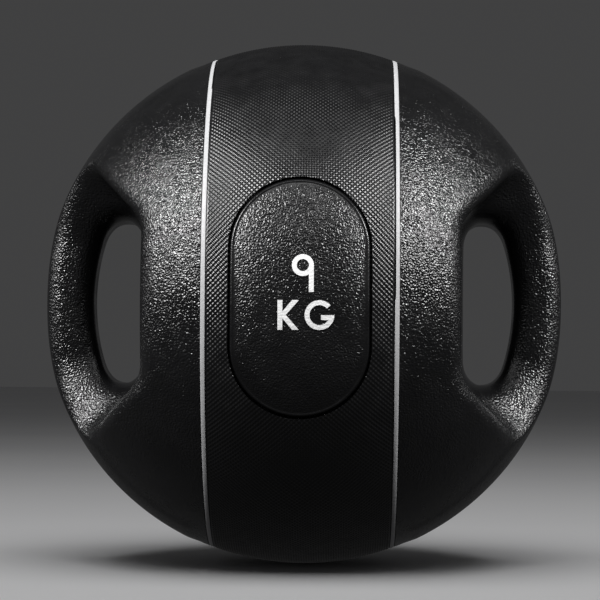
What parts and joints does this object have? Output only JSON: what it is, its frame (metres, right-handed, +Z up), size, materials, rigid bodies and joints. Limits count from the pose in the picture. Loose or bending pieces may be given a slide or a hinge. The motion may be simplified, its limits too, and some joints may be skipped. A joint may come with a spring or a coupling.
{
  "type": "medicine ball",
  "caption": "Round rubber medicine ball with a moulded grip bar bridging a hand channel on each side, a knurled centre band and a badge with the weight.",
  "frame": {"origin": "the point on which the ball stands, under its centre", "axes": "+Z up, +X towards the right grip as seen from the front, -Y towards the badge with the weight"},
  "size_m": [0.2776, 0.2798, 0.28],
  "materials": {
    "band_rubber": "fine diamond knurl, satin black",
    "cover_rubber": "pebbled leather-like grain, semi-gloss black",
    "badge_rubber": "pebbled, semi-gloss black",
    "stripe": "satin, pale grey",
    "weight_mark": "matt white",
    "ballast": "coarse, matt, mineral-filled",
    "winding": "wound nylon thread",
    "butyl": "smooth black butyl",
    "valve_rubber": "smooth, satin",
    "plug_rubber": "smooth, satin grey",
    "grip_core": "natural nylon"
  },
  "bodies": {
    "root": {"centre_band": "band_rubber", "left_side_cover": "cover_rubber", "right_side_cover": "cover_rubber", "left_stripe_ring": "stripe", "right_stripe_ring": "stripe", "front_badge": "badge_rubber", "rear_badge": "badge_rubber", "weight_numeral": "weight_mark", "weight_letter_k": "weight_mark", "weight_letter_g": "weight_mark", "left_ballast_shell": "ballast", "right_ballast_shell": "ballast", "winding_layer": "winding", "air_bladder": "butyl", "valve_boot": "valve_rubber", "valve_plug": "plug_rubber", "left_grip_core": "grip_core", "right_grip_core": "grip_core"}
  },
  "joints": []
}
